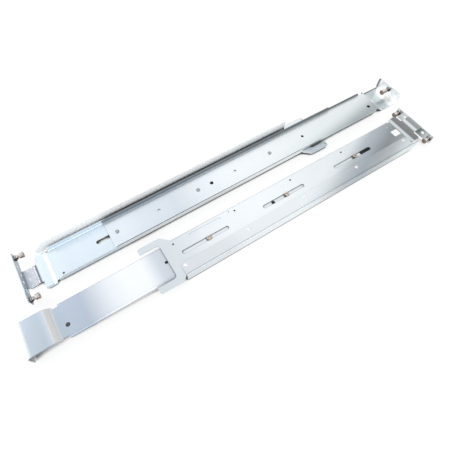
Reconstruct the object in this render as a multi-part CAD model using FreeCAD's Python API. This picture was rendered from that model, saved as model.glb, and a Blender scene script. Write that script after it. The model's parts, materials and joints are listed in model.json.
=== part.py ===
import FreeCAD
import Part
import math
import os

# Sliding server rail pair, all sizes in millimetres.
# X runs along a rail from its wide ear to its short ear, Y across it, Z up.
# The sizes below count Z from the outer face of the left outer channel and Y from its centre line.
# The files are written from the middle of the left wide ear's hole pattern, on the ear's outer face.
# The left rail lies with its inside up, the right rail is its mirror image with its outside up.

# Sheet and fits
SHEET = 1.5
WEB_GAP = 0.5
SIDE_GAP = 0.5
BEND_INNER = 1.5

# Outer channel
OUTER_HALF = 29.0
OUTER_FLANGE_TOP = 9.0
OUTER_FLANGE_START = 4.0
OUTER_FLANGE_END = 463.0
SLOT_START = 73.0
SLOT_LENGTH = 84.0
SLOT_WIDTH = 7.0
SLOT_PITCH = 150.0
SLOT_COUNT = 3

# Fork at the open end of the outer channel
FORK_WIDE_START = 476.0
FORK_HALF = 41.0
FORK_TIP = 514.0
FORK_TIP_RADIUS = 4.0
FORK_INNER_HALF = 30.5
FORK_CUT_START = 481.5
FORK_CUT_RADIUS = 6.0
FORK_TIP_HOLE = 2.6
FORK_TIP_HOLE_INSET = 3.5
FORK_TIP_HOLE_OFFSET = 35.5

# Joggled end, tab and wide ear of the outer channel
JOGGLE_START = -1.0
JOGGLE_END = -5.0
JOGGLE_DEPTH = 1.5
END_HALF = 30.5
END_LIMIT = -18.0
END_CORNER = 3.0
TAB_HALF = 16.0
TAB_STEP_START = -23.5
TAB_STEP_END = -27.0
TAB_STEP_DEPTH = 1.0
EAR_BEND_INNER = 3.5
OUTER_EAR_FACE = -43.0
OUTER_EAR_HALF = 44.0
OUTER_EAR_LOW = 0.5
OUTER_EAR_TOP = 17.5
OUTER_EAR_CORNER = 2.0
EAR_HOLE = 6.0
RACK_PITCH_NEAR = 12.7
RACK_PITCH_FAR = 15.875
OUTER_SCREW_HEIGHT = 8.0

# Ledge bracket, riveted under the outer channel
LEDGE_START = 2.5
LEDGE_END = 468.5
LEDGE_INNER_EDGE = 15.0
LEDGE_OUTER_FACE = 36.0
LEDGE_TOP = 20.0
LEDGE_CORNER = 5.0
LEDGE_TONGUE = -12.0
LEDGE_TONGUE_TOP = 8.0
LEDGE_FLANGE_START = 2.0
RIVET_START = 12.0
RIVET_PITCH = 112.5
RIVET_COUNT = 5
RIVET_OFFSET = 20.0
RIVET_SHANK = 3.6
RIVET_HEAD = 6.0
RIVET_HEAD_HEIGHT = 1.2
RIVET_SINK = 5.6
RIVET_SINK_DEPTH = 1.0
SIDE_HOLE = 3.4

# Small features of the outer channel's web
EMBOSS_START = 376.0
EMBOSS_END = 434.0
EMBOSS_WIDTH = 5.5
EMBOSS_DEPTH = 0.6
PILOT_HOLE = 1.8
PILOT_X = 359.0
PILOT_OFFSET = 23.5

# Inner channel
INNER_START = 96.0
INNER_FLANGE_TOP = 10.5
INNER_FLANGE_STEP = 569.0
INNER_FLANGE_LOW_TOP = 7.5
INNER_FLANGE_END = 646.0
INNER_CORNER = 4.0
RELIEF_START = 645.5
RELIEF_LENGTH = 9.5
RELIEF_DEPTH = 4.0
RAISE_START = 657.5
RAISE_END = 664.5
RAISE_DEPTH = 6.5
RAISED_HALF = 27.0
INNER_EAR_FACE = 702.5
INNER_EAR_TOP = 18.5
INNER_EAR_HALF = 28.5
INNER_EAR_CORNER = 3.0
INNER_SCREW_HEIGHT = 12.5
WEB_HOLE = 5.2
WEB_HOLE_START = 184.5
LATCH_HOLE = 6.6
LATCH_HOLE_X = 286.5
END_HOLE = 6.6
END_HOLE_X = 642.5
END_HOLE_OFFSET = 9.0
EAR_MARK = 2.4
EAR_MARK_NEAR = (-20.5, 3.5)
EAR_MARK_FAR = (24.0, 8.0)

# Guide pins, fixed in the inner channel and running in the slots
PIN_START = 109.5
PIN_SHANK = 6.4
PIN_NECK = 4.6
PIN_HEAD = 7.6
PIN_HEAD_HEIGHT = 1.4
PIN_HEAD_GAP = 0.4
PIN_INNER_END = 6.6
PIN_INNER_HEIGHT = 1.0
PIN_DIMPLE = 3.4
PIN_DIMPLE_DEPTH = 0.8

# Captive spring screws
SCREW_THREAD = 5.0
SCREW_THREAD_LENGTH = 3.6
SCREW_SHANK = 3.9
SCREW_RUNNING = 0.08
SLEEVE_OUTER = 6.4
SLEEVE_COLLAR = 9.2
SLEEVE_COLLAR_LENGTH = 2.4
SLEEVE_BARREL = 2.0
KNOB_OUTER = 8.6
KNOB_FLARE = 9.6
KNOB_FLARE_LENGTH = 2.6
KNOB_CAP = 1.5
KNOB_WALL_GAP = 0.3
KNOB_RECESS = 3.6
KNOB_RECESS_WIDTH = 0.9
KNOB_RECESS_DEPTH = 0.9
OUTER_SCREW_LENGTH = 15.0
OUTER_SCREW_TRAVEL = 5.0
INNER_SCREW_LENGTH = 21.5
INNER_SCREW_TRAVEL = 7.0
SPRING_WIRE = 0.5
SPRING_PITCH = 1.75
SPRING_STEPS = 12
SPRING_END_GAP = 0.05

# Blank label on the right rail
LABEL_LENGTH = 14.0
LABEL_WIDTH = 12.6
LABEL_START = 2.0
LABEL_OFFSET = -1.0
LABEL_THICKNESS = 0.2

# Place of the right rail beside the left one
PAIR_X = 635.2
PAIR_Y = -93.2

# Sizes that follow
INNER_HALF = OUTER_HALF - SHEET - SIDE_GAP
INNER_WEB = SHEET + WEB_GAP
INNER_RAISED = INNER_WEB - RAISE_DEPTH
PAIR_Z = INNER_RAISED + LEDGE_TOP
OVER = 5.0


def add(a, b, scale=1.0):
    return a + b * scale


def rounded_wire(points, radii):
    # A closed wire through the points with an arc of the given radius at each corner.
    count = len(points)
    starts = []
    ends = []
    middles = []
    for i in range(count):
        here = points[i]
        before = (here - points[i - 1]).normalize()
        after = (points[(i + 1) % count] - here).normalize()
        turn = before.getAngle(after)
        if radii[i] <= 0 or turn < 1e-6:
            starts.append(here)
            ends.append(here)
            middles.append(None)
            continue
        reach = radii[i] * math.tan(turn / 2)
        start = add(here, before, -reach)
        end = add(here, after, reach)
        inward = (after - before).normalize()
        centre = add(here, inward, radii[i] / math.cos(turn / 2))
        starts.append(start)
        ends.append(end)
        middles.append(add(centre, inward, -radii[i]))
    edges = []
    for i in range(count):
        if middles[i] is not None:
            edges.append(Part.Arc(starts[i], middles[i], ends[i]).toShape())
        follower = starts[(i + 1) % count]
        if (follower - ends[i]).Length > 1e-6:
            edges.append(Part.makeLine(ends[i], follower))
    return Part.Wire(edges)


def plate(points, radii, thickness):
    return Part.Face(rounded_wire(points, radii)).extrude(thickness)


def bent_strip(points, radii, side, across):
    # Bent sheet: the points follow one face, the other face is a sheet thickness to the given side.
    normal = FreeCAD.Vector(across).normalize()
    directions = []
    for i in range(len(points) - 1):
        directions.append((points[i + 1] - points[i]).normalize())
    lefts = [normal.cross(d) * side for d in directions]
    last = len(points) - 1
    near = []
    far = []
    near_radii = []
    far_radii = []
    for i in range(len(points)):
        if i == 0:
            shift = lefts[0] * SHEET
        elif i == last:
            shift = lefts[-1] * SHEET
        else:
            shift = (lefts[i - 1] + lefts[i]) * (SHEET / (1 + lefts[i - 1].dot(lefts[i])))
        near.append(points[i])
        far.append(points[i] + shift)
        radius = radii[i]
        if i in (0, last):
            near_radii.append(0)
            far_radii.append(0)
        elif directions[i - 1].cross(directions[i]).dot(normal) * side > 0:
            near_radii.append(radius + SHEET)
            far_radii.append(radius)
        else:
            near_radii.append(radius)
            far_radii.append(radius + SHEET)
    outline = near + far[::-1]
    corners = near_radii + far_radii[::-1]
    return Part.Face(rounded_wire(outline, corners)).extrude(across)


def cylinder_z(diameter, x, y, low, high):
    return Part.makeCylinder(diameter / 2, high - low, FreeCAD.Vector(x, y, low), FreeCAD.Vector(0, 0, 1))


def cylinder_x(diameter, x_low, x_high, y, z):
    return Part.makeCylinder(diameter / 2, x_high - x_low, FreeCAD.Vector(x_low, y, z), FreeCAD.Vector(1, 0, 0))


def slot_z(x_low, x_high, y, width, low, high):
    half = width / 2
    points = [(x_low, y - half), (x_high, y - half), (x_high, y + half), (x_low, y + half)]
    corners = [FreeCAD.Vector(x, v, low) for x, v in points]
    return plate(corners, [half * 0.999] * 4, FreeCAD.Vector(0, 0, high - low))


def box(x_low, x_high, y_low, y_high, z_low, z_high):
    size = (x_high - x_low, y_high - y_low, z_high - z_low)
    return Part.makeBox(size[0], size[1], size[2], FreeCAD.Vector(x_low, y_low, z_low))


def turned(profile, base, axis):
    # Solid of revolution: profile points are (radius, distance along the axis) from the base.
    axis = FreeCAD.Vector(axis)
    points = [FreeCAD.Vector(r, 0, along) for r, along in profile]
    face = Part.Face(rounded_wire(points, [0] * len(points)))
    solid = face.revolve(FreeCAD.Vector(0, 0, 0), FreeCAD.Vector(0, 0, 1), 360)
    solid.Placement = FreeCAD.Placement(base, FreeCAD.Rotation(FreeCAD.Vector(0, 0, 1), axis))
    return solid


def corner_cut(x, z, radius, x_sign, z_sign, y_low, y_high):
    # What a round corner takes off a flange seen from the side; x and z are the sharp corner.
    centre = FreeCAD.Vector(x - x_sign * radius, y_low, z - z_sign * radius)
    reach = 1.0
    xs = sorted((x - x_sign * radius, x + x_sign * reach))
    zs = sorted((z - z_sign * radius, z + z_sign * reach))
    block = box(xs[0], xs[1], y_low, y_high, zs[0], zs[1])
    return block.cut(Part.makeCylinder(radius, y_high - y_low, centre, FreeCAD.Vector(0, 1, 0)))


def channel(half, web_face, top, start, end):
    points = [(-half, top), (-half, web_face), (half, web_face), (half, top)]
    face_points = [FreeCAD.Vector(start, y, z) for y, z in points]
    return bent_strip(face_points, [0, BEND_INNER, BEND_INNER, 0], 1, FreeCAD.Vector(end - start, 0, 0))


def rivet_positions():
    return [RIVET_START + RIVET_PITCH * i for i in range(RIVET_COUNT)]


def ledge_rivet(x):
    head = -SHEET - RIVET_HEAD_HEIGHT
    sink = SHEET - RIVET_SINK_DEPTH
    profile = [(0, head), (RIVET_HEAD / 2 - 1.0, head), (RIVET_HEAD / 2, head + 0.8), (RIVET_HEAD / 2, -SHEET)]
    profile += [(RIVET_SHANK / 2, -SHEET), (RIVET_SHANK / 2, sink), (RIVET_SINK / 2, SHEET), (0, SHEET)]
    return turned(profile, FreeCAD.Vector(x, RIVET_OFFSET, 0), (0, 0, 1))


def outer_end():
    # Joggle and flat end at full width, then the tab up to the wide ear.
    low = -JOGGLE_DEPTH
    step = low - TAB_STEP_DEPTH
    inside = OUTER_FLANGE_START + OVER
    path = [(inside, 0), (JOGGLE_START, 0), (JOGGLE_END, low), (END_LIMIT, low)]
    wide = [FreeCAD.Vector(x, -END_HALF, z) for x, z in path]
    wide_end = bent_strip(wide, [0, BEND_INNER, BEND_INNER, 0], 1, FreeCAD.Vector(0, 2 * END_HALF, 0))
    web_half = OUTER_HALF - BEND_INNER - SHEET
    outline = [(inside, -web_half), (JOGGLE_START + 1, -web_half), (JOGGLE_START, -END_HALF)]
    outline += [(END_LIMIT, -END_HALF), (END_LIMIT, END_HALF), (JOGGLE_START, END_HALF)]
    outline += [(JOGGLE_START + 1, web_half), (inside, web_half)]
    shape = [FreeCAD.Vector(x, y, low - OVER) for x, y in outline]
    radii = [0, 0, 1.0, END_CORNER, END_CORNER, 1.0, 0, 0]
    wide_end = wide_end.common(plate(shape, radii, FreeCAD.Vector(0, 0, 4 * OVER)))
    path = [(END_LIMIT + OVER, low), (TAB_STEP_START, low), (TAB_STEP_END, step)]
    path += [(OUTER_EAR_FACE, step), (OUTER_EAR_FACE, OUTER_EAR_TOP - OUTER_EAR_CORNER)]
    tab_points = [FreeCAD.Vector(x, -TAB_HALF, z) for x, z in path]
    bends = [0, BEND_INNER, BEND_INNER, EAR_BEND_INNER, 0]
    tab = bent_strip(tab_points, bends, 1, FreeCAD.Vector(0, 2 * TAB_HALF, 0))
    return wide_end.fuse(tab)


def outer_ear():
    bend_top = -JOGGLE_DEPTH - TAB_STEP_DEPTH + SHEET + EAR_BEND_INNER
    corners = [(-OUTER_EAR_HALF, OUTER_EAR_LOW), (-TAB_HALF - 1.5, OUTER_EAR_LOW), (-TAB_HALF - 1.5, bend_top)]
    corners += [(TAB_HALF + 1.5, bend_top), (TAB_HALF + 1.5, OUTER_EAR_LOW), (OUTER_EAR_HALF, OUTER_EAR_LOW)]
    corners += [(OUTER_EAR_HALF, OUTER_EAR_TOP), (-OUTER_EAR_HALF, OUTER_EAR_TOP)]
    radii = [OUTER_EAR_CORNER, 0.8, 1.4, 1.4, 0.8, OUTER_EAR_CORNER, OUTER_EAR_CORNER, OUTER_EAR_CORNER]
    points = [FreeCAD.Vector(OUTER_EAR_FACE, y, z) for y, z in corners]
    return plate(points, radii, FreeCAD.Vector(SHEET, 0, 0))


def fork():
    inner = OUTER_HALF - BEND_INNER - SHEET
    half = [(OUTER_FLANGE_END - OVER, inner), (OUTER_FLANGE_END, inner), (OUTER_FLANGE_END, OUTER_HALF)]
    half += [(FORK_WIDE_START, FORK_HALF), (FORK_TIP, FORK_HALF), (FORK_TIP, FORK_INNER_HALF)]
    half += [(FORK_CUT_START, FORK_INNER_HALF)]
    half_radii = [0, 0, 1.5, FORK_TIP_RADIUS, FORK_TIP_RADIUS, 1.0, FORK_CUT_RADIUS]
    outline = [FreeCAD.Vector(x, y, 0) for x, y in half]
    outline += [FreeCAD.Vector(x, -y, 0) for x, y in half[::-1]]
    radii = half_radii + half_radii[::-1]
    body = plate(outline, radii, FreeCAD.Vector(0, 0, SHEET))
    for sign in (-1, 1):
        x = FORK_TIP - FORK_TIP_HOLE_INSET
        body = body.cut(cylinder_z(FORK_TIP_HOLE, x, sign * FORK_TIP_HOLE_OFFSET, -1, SHEET + 1))
    return body


def outer_channel(rivets):
    body = channel(OUTER_HALF, 0, OUTER_FLANGE_TOP, OUTER_FLANGE_START, OUTER_FLANGE_END)
    for x, sign in ((OUTER_FLANGE_START, -1), (OUTER_FLANGE_END, 1)):
        radius = 5.0 if sign < 0 else 2.0
        body = body.cut(corner_cut(x, OUTER_FLANGE_TOP, radius, sign, 1, -OUTER_HALF - 1, OUTER_HALF + 1))
    body = body.fuse([outer_end(), outer_ear(), fork()])
    for i in range(SLOT_COUNT):
        start = SLOT_START + SLOT_PITCH * i
        body = body.cut(slot_z(start, start + SLOT_LENGTH, 0, SLOT_WIDTH, -1, SHEET + 1))
    for x in rivet_positions():
        body = body.cut(cylinder_z(SIDE_HOLE, x, -RIVET_OFFSET, -1, SHEET + 1))
    body = body.cut(cylinder_z(PILOT_HOLE, PILOT_X, -PILOT_OFFSET, -1, SHEET + 1))
    body = body.cut(slot_z(EMBOSS_START, EMBOSS_END, -RIVET_OFFSET, EMBOSS_WIDTH, -1, EMBOSS_DEPTH))
    near = RACK_PITCH_NEAR / 2
    far = near + RACK_PITCH_FAR
    for offset, diameter in ((near, EAR_HOLE), (far, EAR_HOLE), (far + RACK_PITCH_FAR, SLEEVE_OUTER)):
        for y in (-offset, offset):
            low = OUTER_EAR_FACE - 1
            body = body.cut(cylinder_x(diameter, low, low + SHEET + 2, y, OUTER_SCREW_HEIGHT))
    for tool in rivets:
        body = body.cut(tool)
    return body.removeSplitter()


def ledge_bracket(rivets):
    path = [(LEDGE_INNER_EDGE, -SHEET), (LEDGE_OUTER_FACE, -SHEET), (LEDGE_OUTER_FACE, LEDGE_TOP)]
    points = [FreeCAD.Vector(LEDGE_TONGUE, y, z) for y, z in path]
    body = bent_strip(points, [0, BEND_INNER, 0], 1, FreeCAD.Vector(LEDGE_END - LEDGE_TONGUE, 0, 0))
    inner = LEDGE_OUTER_FACE - SHEET
    outline = [(LEDGE_START, LEDGE_INNER_EDGE), (LEDGE_END, LEDGE_INNER_EDGE), (LEDGE_END, LEDGE_OUTER_FACE + 1)]
    outline += [(LEDGE_TONGUE, LEDGE_OUTER_FACE + 1), (LEDGE_TONGUE, inner - 0.5), (LEDGE_START, inner - 0.5)]
    shape = [FreeCAD.Vector(x, y, -OVER) for x, y in outline]
    radii = [LEDGE_CORNER, LEDGE_CORNER, 0, 0, 0, 2.0]
    body = body.common(plate(shape, radii, FreeCAD.Vector(0, 0, LEDGE_TOP + 2 * OVER)))
    side = [(LEDGE_TONGUE - 1, LEDGE_TONGUE_TOP), (LEDGE_TONGUE + 2, LEDGE_TONGUE_TOP)]
    side += [(LEDGE_FLANGE_START, LEDGE_TOP), (LEDGE_FLANGE_START, LEDGE_TOP + 1), (LEDGE_TONGUE - 1, LEDGE_TOP + 1)]
    corners = [FreeCAD.Vector(x, inner - 1, z) for x, z in side]
    body = body.cut(plate(corners, [0] * 5, FreeCAD.Vector(0, SHEET + 2, 0)))
    body = body.cut(corner_cut(LEDGE_END, LEDGE_TOP, 2.0, 1, 1, inner - 1, inner + SHEET + 1))
    for tool in rivets:
        body = body.cut(tool)
    return body.removeSplitter()


def inner_channel(pins):
    body = channel(INNER_HALF, INNER_WEB, INNER_FLANGE_TOP, INNER_START, INNER_FLANGE_END)
    side = INNER_HALF + 1
    step = box(INNER_FLANGE_STEP, INNER_FLANGE_END + 1, -side, side, INNER_FLANGE_LOW_TOP, INNER_FLANGE_TOP + 1)
    body = body.cut(step)
    body = body.cut(corner_cut(INNER_FLANGE_STEP, INNER_FLANGE_TOP, 2.5, 1, 1, -side, side))
    body = body.cut(corner_cut(INNER_FLANGE_END, INNER_FLANGE_LOW_TOP, 3.0, 1, 1, -side, side))
    body = body.cut(corner_cut(INNER_START, INNER_FLANGE_TOP, INNER_CORNER, -1, 1, -side, side))
    web_half = INNER_HALF - BEND_INNER - SHEET
    path = [(INNER_FLANGE_END - OVER, INNER_WEB), (RAISE_START, INNER_WEB), (RAISE_END, INNER_RAISED)]
    path += [(INNER_EAR_FACE, INNER_RAISED), (INNER_EAR_FACE, INNER_EAR_TOP)]
    half = INNER_EAR_HALF
    points = [FreeCAD.Vector(x, -half, z) for x, z in path]
    bends = [0, BEND_INNER, BEND_INNER, 2.0, 0]
    tail = bent_strip(points, bends, -1, FreeCAD.Vector(0, 2 * half, 0))
    relief_end = RELIEF_START + RELIEF_LENGTH
    narrow = INNER_HALF - RELIEF_DEPTH
    bend = INNER_EAR_FACE - SHEET - 2.0
    outline = [(INNER_FLANGE_END - OVER, -web_half), (RELIEF_START, -web_half), (RELIEF_START, -narrow)]
    outline += [(relief_end, -narrow), (relief_end, -RAISED_HALF), (bend, -RAISED_HALF)]
    outline += [(bend, -half), (INNER_EAR_FACE + 1, -half)]
    outline += [(INNER_EAR_FACE + 1, half), (bend, half), (bend, RAISED_HALF), (relief_end, RAISED_HALF)]
    outline += [(relief_end, narrow), (RELIEF_START, narrow), (RELIEF_START, web_half)]
    outline += [(INNER_FLANGE_END - OVER, web_half)]
    radii = [0, 0, 0, 2.0, 2.0, 0, 0, 0, 0, 0, 0, 2.0, 2.0, 0, 0, 0]
    shape = [FreeCAD.Vector(x, y, INNER_RAISED - OVER) for x, y in outline]
    tail = tail.common(plate(shape, radii, FreeCAD.Vector(0, 0, INNER_EAR_TOP + 4 * OVER)))
    low = INNER_RAISED - 1
    rim = INNER_RAISED + SHEET + 2.0
    ear = [(-RAISED_HALF, low), (RAISED_HALF, low), (RAISED_HALF, rim), (half, rim)]
    ear += [(half, INNER_EAR_TOP), (-half, INNER_EAR_TOP), (-half, rim), (-RAISED_HALF, rim)]
    radii = [0, 0, 0, 0.8, INNER_EAR_CORNER, INNER_EAR_CORNER, 0.8, 0]
    window = [FreeCAD.Vector(bend, y, z) for y, z in ear]
    keep = plate(window, radii, FreeCAD.Vector(OVER, 0, 0))
    front = box(INNER_FLANGE_END - 2 * OVER, bend, -half - 1, half + 1, low - OVER, INNER_EAR_TOP + OVER)
    tail = tail.common(keep.fuse(front))
    body = body.fuse(tail)
    for i in range(SLOT_COUNT):
        x = WEB_HOLE_START + SLOT_PITCH * i
        body = body.cut(cylinder_z(WEB_HOLE, x, 0, 0, INNER_FLANGE_TOP))
    body = body.cut(cylinder_z(LATCH_HOLE, LATCH_HOLE_X, 0, 0, INNER_FLANGE_TOP))
    body = body.cut(cylinder_z(END_HOLE, END_HOLE_X, -END_HOLE_OFFSET, 0, INNER_FLANGE_TOP))
    for y, z in (EAR_MARK_NEAR, EAR_MARK_FAR):
        body = body.cut(cylinder_x(EAR_MARK, INNER_EAR_FACE - 3, INNER_EAR_FACE + 1, y, z))
    body = body.cut(cylinder_x(SLEEVE_OUTER, INNER_EAR_FACE - 3, INNER_EAR_FACE + 1, 0, INNER_SCREW_HEIGHT))
    for tool in pins:
        body = body.cut(tool)
    return body.removeSplitter()


def guide_pin(x):
    top = -PIN_HEAD_GAP
    low = top - PIN_HEAD_HEIGHT
    web_top = INNER_WEB + SHEET
    head = PIN_HEAD / 2
    end = PIN_INNER_END / 2
    profile = [(0, low + PIN_DIMPLE_DEPTH), (PIN_DIMPLE / 2, low + PIN_DIMPLE_DEPTH), (PIN_DIMPLE / 2, low)]
    profile += [(head - 0.6, low), (head, low + 0.6), (head, top), (PIN_SHANK / 2, top)]
    profile += [(PIN_SHANK / 2, INNER_WEB), (PIN_NECK / 2, INNER_WEB), (PIN_NECK / 2, web_top)]
    profile += [(end, web_top), (end, web_top + 0.4), (end - 0.8, web_top + PIN_INNER_HEIGHT)]
    profile += [(0, web_top + PIN_INNER_HEIGHT)]
    return turned(profile, FreeCAD.Vector(x, 0, 0), (0, 0, 1))


def coil(mean, low, high):
    # A spring of square wire with flat facets, which keeps the mesh light.
    half = SPRING_WIRE / 2
    rise = high - low - SPRING_WIRE
    steps = int(rise / SPRING_PITCH * SPRING_STEPS)
    rings = []
    for i in range(steps + 1):
        turn = 2 * math.pi * i / SPRING_STEPS
        height = low + half + rise * i / steps
        ring = []
        for radial, along in ((-half, -half), (half, -half), (half, half), (-half, half)):
            reach = mean + radial
            ring.append(FreeCAD.Vector(reach * math.cos(turn), reach * math.sin(turn), height + along))
        rings.append(ring)
    faces = []
    for first, second in zip(rings[:-1], rings[1:]):
        for k in range(4):
            corners = (first[k], first[(k + 1) % 4], second[(k + 1) % 4], second[k])
            for triangle in ((corners[0], corners[1], corners[2]), (corners[0], corners[2], corners[3])):
                faces.append(Part.Face(Part.makePolygon(list(triangle) + [triangle[0]])))
    for ring in (rings[0], rings[-1]):
        faces.append(Part.Face(Part.makePolygon(ring + [ring[0]])))
    return Part.Solid(Part.Shell(faces))


def captive_screw(base, axis, length, travel):
    # Sleeve pressed in the ear, knob with the screw shank, spring between them.
    shank = SCREW_SHANK / 2
    thread = SCREW_THREAD / 2
    bore = shank + SCREW_RUNNING
    thread_bore = thread + SCREW_RUNNING
    cap = length - KNOB_CAP
    outer = SLEEVE_OUTER / 2
    collar = SLEEVE_COLLAR / 2
    collar_end = SHEET + SLEEVE_COLLAR_LENGTH
    barrel_end = collar_end + SLEEVE_BARREL
    rim = collar_end + travel
    profile = [(thread_bore, 0), (outer, 0), (outer, SHEET), (collar - 0.6, SHEET), (collar, SHEET + 0.6)]
    profile += [(collar, collar_end - 0.6), (collar - 0.6, collar_end), (outer, collar_end)]
    profile += [(outer, barrel_end), (bore, barrel_end), (bore, collar_end), (thread_bore, collar_end)]
    sleeve = turned(profile, base, axis)
    wall = outer + KNOB_WALL_GAP
    skin = KNOB_OUTER / 2
    flare = KNOB_FLARE / 2
    profile = [(0, 0), (thread - 0.6, 0), (thread, 0.6), (thread, SCREW_THREAD_LENGTH)]
    profile += [(shank, SCREW_THREAD_LENGTH), (shank, cap), (wall, cap), (wall, rim), (skin, rim)]
    profile += [(skin, length - KNOB_FLARE_LENGTH), (flare, length - KNOB_FLARE_LENGTH + 0.6)]
    profile += [(flare, length - 0.5), (flare - 0.5, length), (0, length)]
    knob = turned(profile, base, axis)
    depth = length - KNOB_RECESS_DEPTH
    cross = None
    for turn in (0, 90):
        bar = Part.makeBox(KNOB_RECESS, KNOB_RECESS_WIDTH, KNOB_RECESS_DEPTH + 1)
        bar.translate(FreeCAD.Vector(-KNOB_RECESS / 2, -KNOB_RECESS_WIDTH / 2, depth))
        bar.rotate(FreeCAD.Vector(0, 0, 0), FreeCAD.Vector(0, 0, 1), turn)
        cross = bar if cross is None else cross.fuse(bar)
    place = FreeCAD.Placement(base, FreeCAD.Rotation(FreeCAD.Vector(0, 0, 1), FreeCAD.Vector(axis)))
    cross.Placement = place
    knob = knob.cut(cross)
    mean = (shank + wall) / 2
    spring = coil(mean, barrel_end + SPRING_END_GAP, cap - SPRING_END_GAP)
    spring.Placement = place
    return sleeve, knob, spring


def left_rail():
    nodes = {}
    rivets = [ledge_rivet(x) for x in rivet_positions()]
    outer_screws = []
    reach = RACK_PITCH_NEAR / 2 + 2 * RACK_PITCH_FAR
    for sign in (-1, 1):
        base = FreeCAD.Vector(OUTER_EAR_FACE, sign * reach, OUTER_SCREW_HEIGHT)
        outer_screws.append(captive_screw(base, (1, 0, 0), OUTER_SCREW_LENGTH, OUTER_SCREW_TRAVEL))
    base = FreeCAD.Vector(INNER_EAR_FACE, 0, INNER_SCREW_HEIGHT)
    inner_screw = captive_screw(base, (-1, 0, 0), INNER_SCREW_LENGTH, INNER_SCREW_TRAVEL)
    pins = [guide_pin(PIN_START + SLOT_PITCH * i) for i in range(SLOT_COUNT)]
    nodes["outer_channel"] = outer_channel(rivets)
    nodes["ledge_bracket"] = ledge_bracket(rivets)
    for i, rivet in enumerate(rivets):
        nodes["ledge_rivet_%d" % (i + 1)] = rivet
    nodes["inner_channel"] = inner_channel(pins)
    for i, pin in enumerate(pins):
        nodes["guide_pin_%d" % (i + 1)] = pin
    for label, screw in (("outer_screw_1", outer_screws[0]), ("outer_screw_2", outer_screws[1]), ("inner_screw", inner_screw)):
        nodes[label + "_sleeve"] = screw[0]
        nodes[label + "_knob"] = screw[1]
        nodes[label + "_spring"] = screw[2]
    return nodes


def right_place(name, shape):
    # The right rail is the point reflection of the left one; its inner channel is the same part turned over.
    turned_over = name == "inner_channel"
    moved = shape.copy()
    if turned_over:
        moved.rotate(FreeCAD.Vector(0, 0, 0), FreeCAD.Vector(0, 1, 0), 180)
    else:
        moved = moved.mirror(FreeCAD.Vector(0, 0, 0), FreeCAD.Vector(0, 0, 1))
        moved.rotate(FreeCAD.Vector(0, 0, 0), FreeCAD.Vector(0, 0, 1), 180)
    moved.translate(FreeCAD.Vector(PAIR_X, PAIR_Y, PAIR_Z))
    return moved


def blank_label():
    low = LABEL_OFFSET - LABEL_WIDTH / 2
    points = [(LABEL_START, low), (LABEL_START + LABEL_LENGTH, low)]
    points += [(LABEL_START + LABEL_LENGTH, low + LABEL_WIDTH), (LABEL_START, low + LABEL_WIDTH)]
    corners = [FreeCAD.Vector(x, y, 0) for x, y in points]
    return plate(corners, [0.8] * 4, FreeCAD.Vector(0, 0, -LABEL_THICKNESS))


def main():
    os.makedirs("parts", exist_ok=True)
    left = left_rail()
    right = {name: right_place(name, shape) for name, shape in left.items()}
    right["label"] = right_place("label", blank_label())
    for side, nodes in (("left", left), ("right", right)):
        for name, shape in nodes.items():
            solid = shape.Solids[0]
            solid.translate(FreeCAD.Vector(-OUTER_EAR_FACE, 0, -OUTER_SCREW_HEIGHT))
            solid.exportStep("parts/%s_%s.step" % (side, name))
            print(side, name, len(shape.Solids), shape.isValid(), round(shape.Volume, 1))


main()
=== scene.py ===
import bpy
import json
import math
from mathutils import Matrix, Vector
from typing import NamedTuple


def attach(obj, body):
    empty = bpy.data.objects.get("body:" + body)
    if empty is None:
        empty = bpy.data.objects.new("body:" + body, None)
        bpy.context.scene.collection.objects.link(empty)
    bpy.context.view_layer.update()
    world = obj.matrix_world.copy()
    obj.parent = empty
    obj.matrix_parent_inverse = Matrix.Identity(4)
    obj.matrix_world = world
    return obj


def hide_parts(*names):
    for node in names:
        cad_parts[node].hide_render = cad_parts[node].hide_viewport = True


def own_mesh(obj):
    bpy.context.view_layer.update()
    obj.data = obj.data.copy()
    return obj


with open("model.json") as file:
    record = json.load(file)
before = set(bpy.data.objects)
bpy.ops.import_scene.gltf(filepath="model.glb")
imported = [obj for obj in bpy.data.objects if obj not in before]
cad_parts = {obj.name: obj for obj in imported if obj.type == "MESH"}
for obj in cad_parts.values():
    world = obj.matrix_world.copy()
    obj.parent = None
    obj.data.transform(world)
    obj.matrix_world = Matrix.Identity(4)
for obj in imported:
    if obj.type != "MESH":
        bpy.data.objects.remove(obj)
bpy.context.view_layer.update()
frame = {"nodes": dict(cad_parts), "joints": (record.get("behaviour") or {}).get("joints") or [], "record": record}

MM = 0.001
EAR_FACE = 43.0     # the frame starts at the left wide ear, 43 mm before the rail's own zero
SCREW_HEIGHT = 8.0  # and 8 mm above the outer channel's web
RAIL_FLOOR = -4.5   # the floor's height, in the rail's own mm
RIGHT_Y = -93.2     # the right rail's centre line


def at(x, y, z):
    """A point given in the left rail's own millimetres."""
    return Vector(((x + EAR_FACE) * MM, y * MM, (z - SCREW_HEIGHT) * MM))


class Tones(NamedTuple):
    """Colours along a direction; within says how strongly they show along the rail."""
    direction: tuple
    stops: list
    within: tuple = None


def along_rail(*stops):
    """Stops along the left rail, in its own mm."""
    return Tones((1.0, 0.0, 0.0), [((x + EAR_FACE) * MM, tone) for x, tone in stops])


def across_rail(*stops, within=None):
    """Stops across the rails, in mm from the left rail's centre line."""
    return Tones((0.0, 1.0, 0.0), [(y * MM, tone) for y, tone in stops], within)


def over_height(*stops, within=None):
    """Stops over the height, in the left rail's own mm."""
    return Tones((0.0, 0.0, 1.0), [((z - SCREW_HEIGHT) * MM, tone) for z, tone in stops], within)


def leaning(slope, centre, *stops, within=None):
    """Stops along the rail, on lines that move slope mm for each mm away from a centre line."""
    places = [((x + EAR_FACE - slope * centre) * MM, tone) for x, tone in stops]
    return Tones((1.0, -slope, 0.0), places, within)


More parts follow.
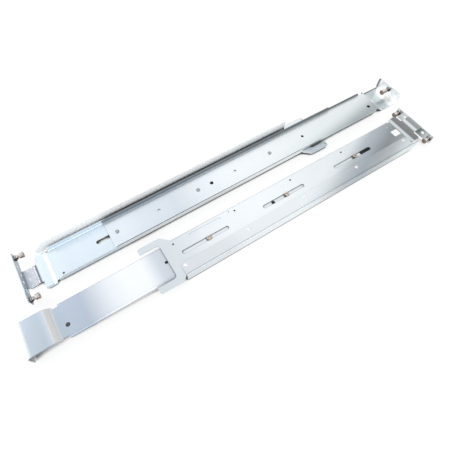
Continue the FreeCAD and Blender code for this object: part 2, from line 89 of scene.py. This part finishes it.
class PaintedShade(NamedTuple):
    """Painted shade: how a finish darkens in corners, in gaps and under edges."""
    reach: float = 3.0      # mm around a point that count
    darkest: float = 0.4    # what the darkest spots keep of their colour
    low: float = 0.15       # share of open space at which a spot is darkest
    high: float = 0.85      # share at which it keeps all its colour
    samples: int = 12
    within: tuple = None    # how strongly it shows, as (mm along the rail, share)


# Grains of the noise, in grains a metre along x, y and z
MOTTLE = (500, 500, 500)
CLOUDS = (30, 18, 30)
SHEEN = (60, 20, 60)
ROLLED = (1400, 90, 900)
SPECKS = (1200, 1200, 1200)
FIBRES = (2500, 2500, 2500)
FINE_DETAIL = 3.0
SOFT_DETAIL = 1.0
GRAIN_HEIGHT = 0.05     # mm


class Finish:
    """One material's nodes, with the few steps that every look here is made of."""

    def __init__(self, name):
        self.material = bpy.data.materials.new(name)
        self.material.use_nodes = True
        self.nodes = self.material.node_tree.nodes
        self.links = self.material.node_tree.links
        self.shader = self.nodes["Principled BSDF"]
        self.place = self.nodes.new("ShaderNodeTexCoord").outputs["Object"]

    def give(self, source, socket):
        """Link another socket to this one, or set it to a plain value."""
        if isinstance(source, bpy.types.NodeSocket):
            self.links.new(source, socket)
        else:
            socket.default_value = source

    def along(self, vector, direction):
        """How far a vector goes along a direction."""
        product = self.nodes.new("ShaderNodeVectorMath")
        product.operation = "DOT_PRODUCT"
        product.inputs[1].default_value = direction
        self.links.new(vector, product.inputs[0])
        return product.outputs["Value"]

    def ramp(self, value, stops):
        """The colour for a value; stops are (value, colour)."""
        low, high = stops[0][0], stops[-1][0]
        reach = self.nodes.new("ShaderNodeMapRange")
        reach.inputs["From Min"].default_value = low
        reach.inputs["From Max"].default_value = high
        self.links.new(value, reach.inputs["Value"])
        ramp = self.nodes.new("ShaderNodeValToRGB")
        colours = ramp.color_ramp.elements
        colours[0].color = (*stops[0][1], 1)
        colours[1].color = (*stops[-1][1], 1)
        for where, colour in stops[1:-1]:
            colours.new((where - low) / (high - low)).color = (*colour, 1)
        self.links.new(reach.outputs[0], ramp.inputs[0])
        return ramp.outputs[0]

    def paint(self, tones):
        """The colour that some tones have at each point."""
        return self.ramp(self.along(self.place, tones.direction), tones.stops)

    def strength(self, within):
        """How strongly something shows along the rail, or fully."""
        if within is None:
            return 1.0
        return self.paint(along_rail(*((x, (share,) * 3) for x, share in within)))

    def mix(self, kind, amount, first, second):
        mix = self.nodes.new("ShaderNodeMixRGB")
        mix.blend_type = kind
        self.give(amount, mix.inputs[0])
        self.give(first, mix.inputs[1])
        self.give(second, mix.inputs[2])
        return mix.outputs[0]

    def noise(self, grains, detail=FINE_DETAIL):
        scaled = self.nodes.new("ShaderNodeMapping")
        scaled.inputs["Scale"].default_value = grains
        self.links.new(self.place, scaled.inputs["Vector"])
        noise = self.nodes.new("ShaderNodeTexNoise")
        noise.inputs["Scale"].default_value = 1.0
        noise.inputs["Detail"].default_value = detail
        self.links.new(scaled.outputs[0], noise.inputs["Vector"])
        return noise.outputs["Fac"]

    def shade(self, painted_shade):
        """Painted shade: white in the open, darker where little space is free."""
        free = self.nodes.new("ShaderNodeAmbientOcclusion")
        free.inputs["Distance"].default_value = painted_shade.reach * MM
        free.samples = painted_shade.samples
        return self.ramp(free.outputs["AO"], [(painted_shade.low, (painted_shade.darkest,) * 3), (painted_shade.high, WHITE)])

    # Multiplies a colour by the painted shade
    def darken(self, colour, painted_shade):
        return self.mix("MULTIPLY", self.strength(painted_shade.within), colour, self.shade(painted_shade))

    def metal(self, colour, metallic, rough, uneven, grain):
        """Metal with uneven sheen and a fine rolled grain, which runs across the rail."""
        self.links.new(colour, self.shader.inputs["Base Color"])
        self.shader.inputs["Metallic"].default_value = metallic
        sheen = self.nodes.new("ShaderNodeMapRange")
        sheen.inputs["To Min"].default_value = rough - uneven
        sheen.inputs["To Max"].default_value = rough + uneven
        self.links.new(self.noise(SHEEN), sheen.inputs["Value"])
        self.links.new(sheen.outputs[0], self.shader.inputs["Roughness"])
        if grain:
            rolled = self.nodes.new("ShaderNodeBump")
            rolled.inputs["Strength"].default_value = grain
            rolled.inputs["Distance"].default_value = GRAIN_HEIGHT * MM
            self.links.new(self.noise(ROLLED), rolled.inputs["Height"])
            self.links.new(rolled.outputs[0], self.shader.inputs["Normal"])
        return self.material


# Tones of the plated sheet; from part to part and along the rails the ramps below lay painted reflection and
# painted shade over them
WHITE = (1.0, 1.0, 1.0)
SHEET = (0.88, 0.92, 0.95)
COOL = (0.775, 0.87, 0.95)
TONGUE_SHADE = (0.55, 0.57, 0.63)
# painted shadow: near black, in the gap under the flat end's edge
PAINTED_GAP_SHADOW = (0.12, 0.12, 0.14)
JOGGLE = (0.66, 0.70, 0.72)


def steel(name, base, *bands, metallic=0.75, grain=0.06, painted_shade=PaintedShade()):
    """Zinc plated sheet: its base tones, which carry painted reflection and painted shade, with bands of darker
    tones over them as painted shade, and painted shade in corners.
    """
    finish = Finish(name)
    colour = finish.paint(base)
    for band in bands:
        colour = finish.mix("MULTIPLY", finish.strength(band.within), colour, finish.paint(band))
    colour = finish.mix("SOFT_LIGHT", 0.10, colour, finish.noise(MOTTLE))
    colour = finish.mix("SOFT_LIGHT", 0.10, colour, finish.noise(CLOUDS, SOFT_DETAIL))
    colour = finish.darken(colour, painted_shade)
    return finish.metal(colour, metallic, rough=0.36, uneven=0.05, grain=grain)


def left_outer():
    # Painted reflection and shade along the rail: the wide ear's dark foot, the tongue's shaded end and the dark
    # gap after it are painted shade, and the lighter web towards the fork is painted reflection
    base = along_rail(
        (-43, COOL), (-42, (0.38, 0.44, 0.44)), (-40, (0.22, 0.25, 0.27)),  # wide ear
        (-38, (0.84, 0.87, 0.96)), (-28, (0.86, 0.89, 0.97)),               # tongue
        (-27, TONGUE_SHADE), (-23, TONGUE_SHADE), (-21.5, PAINTED_GAP_SHADOW), (-20, PAINTED_GAP_SHADOW),
        (-19, COOL), (100, COOL),                                           # open web
        (112, (0.92, 0.96, 0.98)), (465, (0.95, 0.97, 0.98)),               # beside the inner channel
        (514, (0.97, 0.99, 1)),                                             # fork
    )
    # painted shade: a dark strip on the far flange beside the inner channel
    far_flange_shade = across_rail(
        (26.6, WHITE), (27.1, (0.25, 0.28, 0.30)),
        within=[(92, 0), (104, 1), (463, 1), (466, 0)],
    )
    # painted shade along the fork arm's edge
    near_arm_shade = across_rail(
        (28.0, (0.68, 0.73, 0.78)), (30.0, WHITE),
        within=[(465, 0), (478, 1), (514, 1)],
    )
    # painted shade on the near flange's face, fading along the rail
    near_flange_shade = across_rail(
        (-29.1, (0.74, 0.75, 0.76)), (-28.0, (0.74, 0.75, 0.76)), (-27.3, WHITE),
        within=[(100, 1), (300, 0.9), (350, 0.3), (463, 0.3)],
    )
    return steel("left outer", base, far_flange_shade, near_arm_shade, near_flange_shade)


def left_ledge():
    """Light, with painted shade in the gap between its flange and the outer channel."""
    gap = PaintedShade(
        reach=12, darkest=0.1, low=0.18, high=0.34, samples=64,
        within=[(80, 0.25), (125, 1)],
    )
    base = along_rail((-12, WHITE), (470, (0.97, 0.99, 1)))
    return steel("left ledge", base, metallic=0.15, grain=0, painted_shade=gap)


def left_inner():
    # Painted light and shade along the inner channel: painted shadow darkens it from 150 to 215 mm, the joggle has
    # a white painted highlight, and the raised end and short ear carry painted shade beside a painted highlight at
    # the ear's edge
    base = along_rail(
        (96, (0.80, 0.87, 0.94)), (120, (0.82, 0.88, 0.95)),                # open end
        (150, (0.755, 0.82, 0.885)), (215, (0.715, 0.775, 0.835)),
        (260, (0.84, 0.89, 0.93)), (310, (0.92, 0.96, 0.99)),
        (540, (0.96, 1, 1)), (657, (0.98, 1, 1)),
        (660, WHITE), (664, WHITE),                                         # joggle
        (666, (0.72, 0.80, 0.83)), (675, (0.66, 0.73, 0.75)),               # raised end
        (684, (0.70, 0.77, 0.79)), (690, (0.97, 1, 1)),
        (701.2, WHITE), (701.7, (0.58, 0.61, 0.63)), (702.5, (0.76, 0.79, 0.81)),  # short ear
    )
    # painted shade and shadow: the web darkens towards the far flange, which is near black
    far_flange_shade = across_rail(
        (22.8, WHITE), (24.6, (0.62, 0.64, 0.66)), (25.4, (0.18, 0.20, 0.21)),
        within=[(100, 0.85), (200, 0.85), (350, 0.97), (470, 1)],
    )
    # painted reflection that dims towards the end, on slanting lines
    painted_dimming = leaning(
        5.0, 0.0,
        (470, WHITE), (560, (0.95, 0.97, 0.97)), (611, (0.84, 0.87, 0.87)),
        (645, (0.72, 0.75, 0.76)), (683, (0.56, 0.60, 0.61)), (723, (0.48, 0.52, 0.54)),
        within=[(640, 1), (657, 1), (658, 0.15), (683, 0.15), (688, 0), (702, 0)],
    )
    return steel("left inner", base, far_flange_shade, painted_dimming, painted_shade=PaintedShade(reach=2, darkest=0.65))


def right_outer():
    # Painted reflection and shade along the rail: the fork, the joggle, the near-black flat end and the band
    # before the wide ear are painted darker
    base = along_rail(
        (120, (0.68, 0.74, 0.78)), (175, (0.72, 0.77, 0.81)),               # fork
        (200, (0.78, 0.82, 0.86)), (225, (0.85, 0.89, 0.92)),
        (260, (0.89, 0.93, 0.96)), (330, (0.93, 0.97, 0.99)),
        (430, (0.90, 0.94, 0.97)), (635, (0.90, 0.94, 0.97)),
        (636, JOGGLE), (640, JOGGLE),
        (641, (0.25, 0.25, 0.26)), (655, (0.30, 0.30, 0.30)),               # flat end
        (658, (0.78, 0.83, 0.86)), (662, (0.78, 0.83, 0.86)),               # tongue
        (664, (0.35, 0.37, 0.37)), (673, (0.44, 0.46, 0.46)),
        (676, (0.76, 0.82, 0.81)), (679, (0.76, 0.82, 0.81)),               # wide ear
    )
    # painted reflection that dims towards the end, on slanting lines
    painted_dimming = leaning(
        2.2, RIGHT_Y,
        (453, WHITE), (493, (0.93, 0.94, 0.94)), (533, (0.60, 0.62, 0.64)),
        (553, (0.54, 0.57, 0.60)), (575, (0.48, 0.50, 0.525)), (595, (0.40, 0.425, 0.435)),
        (620, (0.34, 0.35, 0.36)), (663, (0.48, 0.49, 0.49)), (683, (0.78, 0.81, 0.81)),
        within=[(635, 1), (636, 0)],
    )
    return steel("right outer", base, painted_dimming)


def right_ledge():
    # painted reflection, darker towards the fork
    base = along_rail(
        (160, (0.72, 0.76, 0.79)), (240, (0.75, 0.79, 0.82)), (275, (0.83, 0.87, 0.90)),
        (420, (0.89, 0.93, 0.95)), (640, (0.92, 0.96, 0.98)),
    )
    # painted reflection that dims towards the end, on slanting lines
    painted_dimming = leaning(
        2.2, RIGHT_Y,
        (453, WHITE), (493, (0.88, 0.89, 0.90)), (523, (0.70, 0.72, 0.73)),
        (553, (0.54, 0.57, 0.60)), (583, (0.45, 0.49, 0.52)), (620, (0.52, 0.53, 0.54)),
        (650, (0.60, 0.61, 0.61)), (690, (0.84, 0.87, 0.87)),
    )
    # painted shade: a dark line where the flange is bent
    bend_shade = across_rail(
        (-129.2, WHITE), (-128.6, (0.68, 0.69, 0.70)),
        (-127.2, (0.68, 0.69, 0.70)), (-126.4, WHITE),
    )
    # painted contact shadow, darker towards the floor
    foot_shadow = over_height((RAIL_FLOOR, (0.40, 0.38, 0.37)), (-1.5, (0.45, 0.43, 0.42)), (0.0, WHITE))
    return steel("right ledge", base, painted_dimming, bend_shade, foot_shadow, grain=0, painted_shade=PaintedShade(darkest=0.7))


def right_inner():
    # Painted reflection and shade along the inner channel, lighter and darker in stretches from the short ear to
    # the outer channel
    base = along_rail(
        (-67, WHITE), (-63, (0.80, 0.86, 0.88)),                            # short ear
        (-60, (0.56, 0.63, 0.71)), (-38, (0.50, 0.58, 0.66)), (-31, (0.60, 0.66, 0.74)),
        (-29, (0.8, 0.8, 0.8)), (-22, (0.74, 0.74, 0.74)),                  # joggle
        (-21, (0.50, 0.58, 0.67)), (20, (0.50, 0.57, 0.68)), (33, (0.62, 0.67, 0.75)),
        (60, (0.86, 0.90, 0.95)), (85, (0.95, 0.98, 1)), (115, (0.95, 0.98, 1)),
        (126, (0.84, 0.88, 0.93)), (138, (0.66, 0.71, 0.78)), (152, (0.62, 0.66, 0.72)),
        (170, SHEET), (540, SHEET),                                         # inside the outer channel
    )
    # painted shade on the near flange's face
    near_flange_shade = across_rail(
        (-120.3, (0.66, 0.67, 0.69)), (-119.5, (0.66, 0.67, 0.69)), (-118.9, WHITE),
    )
    # painted shade, deep, in slots, gaps and under edges
    inside = PaintedShade(reach=4, darkest=0.15, low=0.3, high=0.97)
    return steel("right inner", base, near_flange_shade, painted_shade=inside)


def specks_and_painted_shade(finish, colour, metallic, rough, darkest):
    """Specks and painted shade in corners, for all the small parts."""
    colour = finish.mix("SOFT_LIGHT", 0.3, colour, finish.noise(SPECKS))
    colour = finish.darken(colour, PaintedShade(reach=2, darkest=darkest, samples=8))
    return finish.metal(colour, metallic, rough, uneven=0.04, grain=0.1)


# How far a turned part's surface faces up, where 1 is straight up; it sets the painted reflection and highlight
DARK_UP_TO = 0.62
BRIGHT_FROM = 0.9


def turned(name, dark, bright):
    """Turned small parts: their own tint, dark as painted reflection where the surface faces sideways and down,
    with a bright painted highlight where it faces up.
    """
    finish = Finish(name)
    normal = finish.nodes.new("ShaderNodeNewGeometry").outputs["Normal"]
    upward = finish.along(normal, (0, 0, 1))
    stops = [(0.0, dark), (DARK_UP_TO, dark), (BRIGHT_FROM, bright), (1.0, bright)]
    return specks_and_painted_shade(finish, finish.ramp(upward, stops), metallic=0.9, rough=0.2, darkest=0.4)


def rivet():
    return specks_and_painted_shade(Finish("rivet"), (0.95, 0.9, 0.9, 1), metallic=0.7, rough=0.3, darkest=0.7)


def label():
    """Blank white paper."""
    finish = Finish("label")
    colour = finish.mix("SOFT_LIGHT", 0.08, (0.97, 0.97, 0.96, 1), finish.noise(FIBRES))
    finish.links.new(colour, finish.shader.inputs["Base Color"])
    finish.shader.inputs["Roughness"].default_value = 0.6
    return finish.material


# The looks by material slot, with the side in front where the two rails differ
looks = {
    "left_outer_steel": left_outer(),
    "left_ledge_steel": left_ledge(),
    "left_inner_steel": left_inner(),
    "right_outer_steel": right_outer(),
    "right_ledge_steel": right_ledge(),
    "right_inner_steel": right_inner(),
    "rivet_steel": rivet(),
    "left_pin_yellow": turned("left pin", (0.10, 0.10, 0.10), (0.42, 0.43, 0.43)),
    "right_pin_yellow": turned("right pin", (0.25, 0.19, 0.14), (0.62, 0.54, 0.46)),
    "sleeve_yellow": turned("sleeve", (0.08, 0.06, 0.06), (0.95, 0.92, 0.90)),
    "knob_yellow": turned("knob", (0.29, 0.22, 0.19), (0.92, 0.88, 0.84)),
    "spring_wire": turned("spring", (0.5, 0.45, 0.42), (0.95, 0.93, 0.91)),
    "label_white": label(),
}


def dress(part):
    """Give a CAD node its look."""
    side = part["node"].split("_")[0]
    slot = part["material_slot"]
    obj = frame["nodes"][part["node"]]
    if not obj.material_slots:
        obj.data.materials.append(None)
    for material_slot in obj.material_slots:
        material_slot.link = "OBJECT"
        material_slot.material = looks.get(side + "_" + slot) or looks[slot]


for part in frame["record"]["subparts"]:
    dress(part)


def coil(joint):
    """A screw's spring again, as a piece of its own that moves with the screw."""
    screw = joint["child"]
    node = screw + "_spring"
    piece = bpy.data.objects.new(screw + "_coil", frame["nodes"][node].data.copy())
    bpy.context.collection.objects.link(piece)
    piece.data.materials.clear()
    piece.data.materials.append(looks["spring_wire"])
    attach(piece, screw)
    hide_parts(node)
    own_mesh(piece)


for joint in frame["joints"]:
    if joint["name"].endswith("_push"):
        coil(joint)


# Floor: seen as white, but it throws little light; it keeps the rails' shadows, and its glow is darkened near and
# under the rails as painted shadow
FLOOR_SIZE = 20.0
FLOOR_GAP = 0.0001
FLOOR_GREY = 0.25
FLOOR_GLOW = 0.8
MIDDLE = Vector((0.35, -0.05, 0.0))     # the middle of the pair


def floor_look():
    finish = Finish("floor")
    nodes, links = finish.nodes, finish.links
    nodes.remove(finish.shader)
    diffuse = nodes.new("ShaderNodeBsdfDiffuse")
    diffuse.inputs["Color"].default_value = (FLOOR_GREY, FLOOR_GREY, FLOOR_GREY, 1)
    ray = nodes.new("ShaderNodeLightPath")
    seen = nodes.new("ShaderNodeMath")
    seen.operation = "MAXIMUM"
    links.new(ray.outputs["Is Camera Ray"], seen.inputs[0])
    links.new(ray.outputs["Is Glossy Ray"], seen.inputs[1])
    strength = nodes.new("ShaderNodeMath")
    strength.operation = "MULTIPLY"
    strength.inputs[1].default_value = FLOOR_GLOW
    links.new(seen.outputs[0], strength.inputs[0])
    # painted shadow: the glow fades where the rails close in the space above the floor
    shadow = PaintedShade(reach=50, darkest=0.0, low=0.31, high=0.46, samples=24)
    glow = nodes.new("ShaderNodeEmission")
    links.new(finish.shade(shadow), glow.inputs["Color"])
    links.new(strength.outputs[0], glow.inputs["Strength"])
    both = nodes.new("ShaderNodeAddShader")
    links.new(diffuse.outputs[0], both.inputs[0])
    links.new(glow.outputs[0], both.inputs[1])
    links.new(both.outputs[0], nodes["Material Output"].inputs["Surface"])
    return finish.material


floor_height = at(0, 0, RAIL_FLOOR).z - FLOOR_GAP
bpy.ops.mesh.primitive_plane_add(size=FLOOR_SIZE, location=(MIDDLE.x, 0, floor_height))
floor = bpy.context.object
floor.name = "floor"
floor.data.materials.append(floor_look())


# Light: an even pale room, with lamps for the sheen and the soft shadows
world = bpy.data.worlds.new("world")
bpy.context.scene.world = world
world.use_nodes = True
room = world.node_tree.nodes["Background"]
room.inputs["Color"].default_value = (0.98, 0.99, 1.0, 1)
room.inputs["Strength"].default_value = 0.8


def lamp(name, place, size, radiance, target=MIDDLE):
    """A rectangular lamp; radiance is how bright it looks, 1 being white."""
    data = bpy.data.lights.new(name, "AREA")
    data.shape = "RECTANGLE"
    data.size, data.size_y = size
    data.energy = radiance * math.pi * size[0] * size[1]
    obj = bpy.data.objects.new(name, data)
    bpy.context.collection.objects.link(obj)
    obj.location = place
    obj.rotation_euler = (Vector(target) - Vector(place)).to_track_quat("-Z", "Y").to_euler()


lamp("key", (-1.1, 1.3, 1.3), (0.5, 0.5), 12.0, target=(0.3, -0.05, 0.0))
lamp("softbox", (0.7, 0.8, 1.5), (1.6, 1.0), 0.3, target=(0.7, 0.79, 0.0))
lamp("front", (0.3, -1.6, 0.5), (2.4, 1.0), 1.7)
lamp("side", (-1.5, 0.5, 0.5), (0.5, 0.6), 4.5)


# Camera, as fitted to the photo: its axes and place in the frame
RIGHT = Vector((0.84546, -0.53403, 0.00225))
DOWN = Vector((-0.47107, -0.74775, -0.46794))
AHEAD = Vector((0.25158, 0.39456, -0.88376))
CAMERA_PLACE = at(117.77, -308.19, 510.22)
LENS_PIXELS = 353.99
PICTURE_PIXELS = 450.0
SENSOR = 36.0   # mm

data = bpy.data.cameras.new("camera")
data.sensor_width = SENSOR
data.lens = LENS_PIXELS / PICTURE_PIXELS * SENSOR
camera = bpy.data.objects.new("camera", data)
bpy.context.collection.objects.link(camera)
turn = Matrix((RIGHT, -DOWN, -AHEAD)).transposed()
camera.matrix_world = Matrix.Translation(CAMERA_PLACE) @ turn.to_4x4()
bpy.context.scene.camera = camera
bpy.context.scene.view_settings.view_transform = "Standard"
